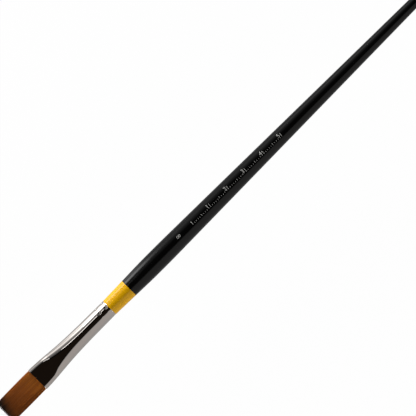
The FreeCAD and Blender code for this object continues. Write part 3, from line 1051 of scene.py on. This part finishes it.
class PAINTBRUSH_OT_print_marks(bpy.types.Operator):
    """Prints the size numeral and a plain centimetre scale on the black lacquer"""

    bl_idname = "paintbrush.print_marks"
    bl_label = "Print Marks"

    def execute(self, context):
        settings = context.scene.paintbrush_handle
        ink = printed_ink(settings)
        leave_selection()
        size = flat_text(SIZE_NUMERAL, settings.size_height, settings.size_station, 0.0, NUMERAL_TURN)
        numeral = print_on_handle([size], "size_numeral", settings)
        parts = []
        numbers = settings.scale_numbers
        for in_centimetre, tall, wide in TICKS:
            pitch = CENTIMETRE / in_centimetre
            parts.append(tick_row(settings, pitch, in_centimetre * numbers + 1, tall, wide))
        for number in range(1, numbers + 1):
            station = settings.scale_station + number * CENTIMETRE - NUMBER_AHEAD
            parts.append(flat_text(str(number), settings.number_height, station, NUMBER_UP))
        scale = print_on_handle(parts, "centimetre_scale", settings)
        for piece in (numeral, scale):
            give(piece, ink)
            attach(piece, "handle")
        return {"FINISHED"}


class PAINTBRUSH_OT_finish_inner_pieces(bpy.types.Operator):
    """Gives the pieces inside the ferrule and under the lacquer their own materials"""

    bl_idname = "paintbrush.finish_inner_pieces"
    bl_label = "Finish Inner Pieces"

    def execute(self, context):
        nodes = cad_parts
        give(nodes["filament_root_bundle"], packed_filament(context.scene.paintbrush_tuft))
        give(nodes["epoxy_plug"], cured_resin("amber_resin", AMBER, CLOUDY_AMBER))
        give(nodes["tenon_glue_film"], cured_resin("cream_glue", CREAM, CLOUDY_CREAM))
        give(nodes["handle_core"], turned_hardwood())
        return {"FINISHED"}


# The studio


# The soft light round the brush, by the angle from overhead in degrees: where each part of it starts, where
# it is full, and how bright it is before and after. The angle grows towards the lit side.
LIT_SIDE_HIGH = (24, 46, 0.0, 0.15)
LIT_SIDE_LOW = (48, 72, 0.0, 0.3)
DIM_SIDE = (22, 32, 0.0, 0.36)
# The dark stretch overhead, in the same degrees, and the little light that is left there.
OVERHEAD = (12, 24)
OVERHEAD_LIGHT = 0.008
# The light is a little warm on the dim side, and white from the second of these angles on.
WARM_TO_WHITE = (-60, 20)
WHITE = (1, 1, 1, 1)
WARM = (1.0, 0.965, 0.95, 1)
WARM_OVERHEAD = (1.0, 0.68, 0.48, 1)

PAPER_SIZE = 3.0
# How much of the paper's brightness is its own light, so that the brush's shadow is faint.
PAPER_SHARE = 0.98
# How bright the paper looks in a mirror, all of it painted: a painted grey shade over most of it, and a
# painted pool of light beside the ferrule.
PAINTED_DIM_REFLECTION = (0.33, 0.33, 0.33, 1)
PAINTED_LIT_REFLECTION = (1.18, 1.18, 1.18, 1)
# The painted pool of light on the paper beside the ferrule: where it starts and where it ends along X, and
# where it starts along Y.
PAINTED_POOL_START = (-0.128, -0.104)
PAINTED_POOL_END = (-0.08, -0.066)
PAINTED_POOL_SIDE = (0.019, 0.044)

# The place along X that the strip light and the lights past the ends face.
FACED_X = -0.094
# Each lamp: its place, the place along X that it faces, its width and height, the setting of its power, and
# its share of that power.
LAMPS = {
    "softbox": ((-0.097, 0.16, 0.039), -0.097, (0.026, 0.074), "softbox_power", 1.0),
    "tuft_edge": ((-0.127, 0.16, 0.039), -0.127, (0.014, 0.074), "edge_power", 0.24),
    "tuft_step": ((-0.115, 0.16, 0.039), -0.115, (0.01, 0.074), "edge_power", 0.32),
    "handle_edge": ((-0.0775, 0.16, 0.039), -0.0775, (0.013, 0.074), "edge_power", 1.0),
    "strip_light": ((-0.118, 0.09, 0.135), FACED_X, (0.05, 0.014), "strip_power", 1.0),
    "tuft_end_bright": ((-0.54, 0.385, 0.08), FACED_X, (0.2, 0.1), "bright_end_power", 1.0),
    "tuft_end_dim": ((-0.54, -0.385, 0.15), FACED_X, (0.2, 0.2), "dim_end_power", 1.0),
    "tail_end_bright": ((0.36, 0.385, 0.08), FACED_X, (0.2, 0.1), "bright_end_power", 1.0),
    "tail_end_dim": ((0.36, -0.385, 0.15), FACED_X, (0.2, 0.2), "dim_end_power", 1.0),
    "fill_light": ((0.075, 0.2, 0.035), 0.075, (0.13, 0.06), "fill_power", 1.0),
}
# Width of the camera's sensor in millimetres, which is how Blender has it.
SENSOR_WIDTH = 36


def studio_light():
    """Soft light from the sides, dark overhead where the camera hangs, and white to the camera."""
    world = bpy.data.worlds.new("studio")
    bpy.context.scene.world = world
    board = Board(world)
    direction = board.node("TexCoord", output="Generated")
    y = board.part_of(direction, "Y")
    z = board.part_of(direction, "Z")
    across = y.angle_to(z) * (180 / math.pi)
    overhead = 1 - across.size().step(*OVERHEAD)
    level = across.step(*LIT_SIDE_HIGH) + across.step(*LIT_SIDE_LOW) + (0 - across).step(*DIM_SIDE)
    level += OVERHEAD_LIGHT * overhead
    tint = board.blend(across.step(*WARM_TO_WHITE), WARM, WHITE)
    tint = board.blend(overhead, tint, WARM_OVERHEAD)
    studio = board.node("Background", inputs={"Color": tint, "Strength": level})
    backdrop = board.node("Background", inputs={"Color": WHITE, "Strength": 1.0})
    board.finish(board.mix(board.is_ray("Camera"), studio, backdrop), "World")


def paper_material(settings):
    """Pale paper that the camera sees as white but for the brush's soft shadow, and that mirrors see as
    painted grey shade with a painted pool of light beside the ferrule.
    """
    board = material_board("studio_paper")
    fibres = board.noise((900, 900, 900), 4.0)
    tint = board.blend(fibres, opaque(settings.paper), opaque(settings.paper, 0.985))
    sheet = board.node("BsdfDiffuse", inputs={"Color": tint})
    spot = board.node("TexCoord", output="Object")
    x = board.part_of(spot, "X")
    y = board.part_of(spot, "Y")
    # A painted pool of light on the paper beside the ferrule stands in for the softbox's light, with painted
    # grey shade elsewhere; the plating and the lacquer mirror both.
    painted_pool = x.step(*PAINTED_POOL_START) * (1 - x.step(*PAINTED_POOL_END)) * y.step(*PAINTED_POOL_SIDE)
    painted_reflection = board.blend(painted_pool, PAINTED_DIM_REFLECTION, PAINTED_LIT_REFLECTION)
    white = board.is_ray("Camera").at_least(board.is_ray("Transmission"))
    light = board.node("Emission", inputs={"Color": board.blend(white, painted_reflection, WHITE), "Strength": 1.0})
    seen = white.at_least(board.is_ray("Glossy")) * PAPER_SHARE
    return board.finish(board.mix(seen, sheet, light))


def lay_paper(settings):
    bpy.ops.mesh.primitive_plane_add(size=PAPER_SIZE, location=(0, 0, -settings.paper_drop))
    paper = settle(bpy.context.object, "studio_paper")
    give(paper, paper_material(settings))


def hang_lamps(settings):
    """Adds the lamps, each facing the brush's axis."""
    for name, (place, faced_x, size, power, part) in LAMPS.items():
        bpy.ops.object.light_add(type="AREA", location=place)
        lamp = bpy.context.object
        lamp.name = name
        facing = Vector((faced_x, 0, AXIS_Z)) - Vector(place)
        lamp.rotation_euler = facing.to_track_quat("-Z", "Y").to_euler()
        lamp.data.shape = "RECTANGLE"
        lamp.data.size, lamp.data.size_y = size
        lamp.data.energy = part * getattr(settings, power)


def set_camera(settings):
    """Hangs the camera straight over the brush, far enough away for an even picture."""
    place = (settings.view_x, settings.view_y, AXIS_Z + settings.camera_height)
    bpy.ops.object.camera_add(location=place, rotation=(0, 0, settings.view_turn))
    camera = bpy.context.object
    camera.name = "camera"
    camera.data.sensor_width = SENSOR_WIDTH
    camera.data.lens = SENSOR_WIDTH * settings.camera_height / settings.view_width
    camera.data.clip_start = 0.01
    camera.data.clip_end = 10.0
    bpy.context.scene.camera = camera


class PAINTBRUSH_OT_set_stage(bpy.types.Operator):
    """Sets the paper, the lamps and the camera"""

    bl_idname = "paintbrush.set_stage"
    bl_label = "Set Stage"

    def execute(self, context):
        settings = context.scene.paintbrush_studio
        leave_selection()
        lay_paper(settings)
        studio_light()
        hang_lamps(settings)
        set_camera(settings)
        context.scene.view_settings.view_transform = "Standard"
        return {"FINISHED"}


class PAINTBRUSH_PT_sidebar(bpy.types.Panel):
    """Lists the steps of making the brush, with the settings of each"""

    bl_label = "Paint Brush"
    bl_idname = "PAINTBRUSH_PT_sidebar"
    bl_space_type = "VIEW_3D"
    bl_region_type = "UI"
    bl_category = "Paint Brush"

    def draw(self, context):
        for step in STEPS:
            self.layout.operator(step.bl_idname)
        for group_name in GROUPS:
            box = self.layout.box()
            group = getattr(context.scene, group_name)
            for name in GROUPS[group_name].__annotations__:
                box.prop(group, name)


GROUPS = {
    "paintbrush_tuft": TuftSettings,
    "paintbrush_ferrule": FerruleSettings,
    "paintbrush_handle": HandleSettings,
    "paintbrush_studio": StudioSettings,
}
STEPS = (
    PAINTBRUSH_OT_set_stage,
    PAINTBRUSH_OT_press_ferrule,
    PAINTBRUSH_OT_lay_filaments,
    PAINTBRUSH_OT_dip_handle,
    PAINTBRUSH_OT_print_marks,
    PAINTBRUSH_OT_finish_inner_pieces,
)


def register():
    for group_name, group in GROUPS.items():
        bpy.utils.register_class(group)
        setattr(bpy.types.Scene, group_name, bpy.props.PointerProperty(type=group))
    for step in STEPS:
        bpy.utils.register_class(step)
    bpy.utils.register_class(PAINTBRUSH_PT_sidebar)


def unregister():
    bpy.utils.unregister_class(PAINTBRUSH_PT_sidebar)
    for step in reversed(STEPS):
        bpy.utils.unregister_class(step)
    for group_name, group in reversed(GROUPS.items()):
        delattr(bpy.types.Scene, group_name)
        bpy.utils.unregister_class(group)


def main():
    register()
    for step in STEPS:
        area, name = step.bl_idname.split(".")
        getattr(getattr(bpy.ops, area), name)()
    leave_selection()


if __name__ == "__main__":
    main()
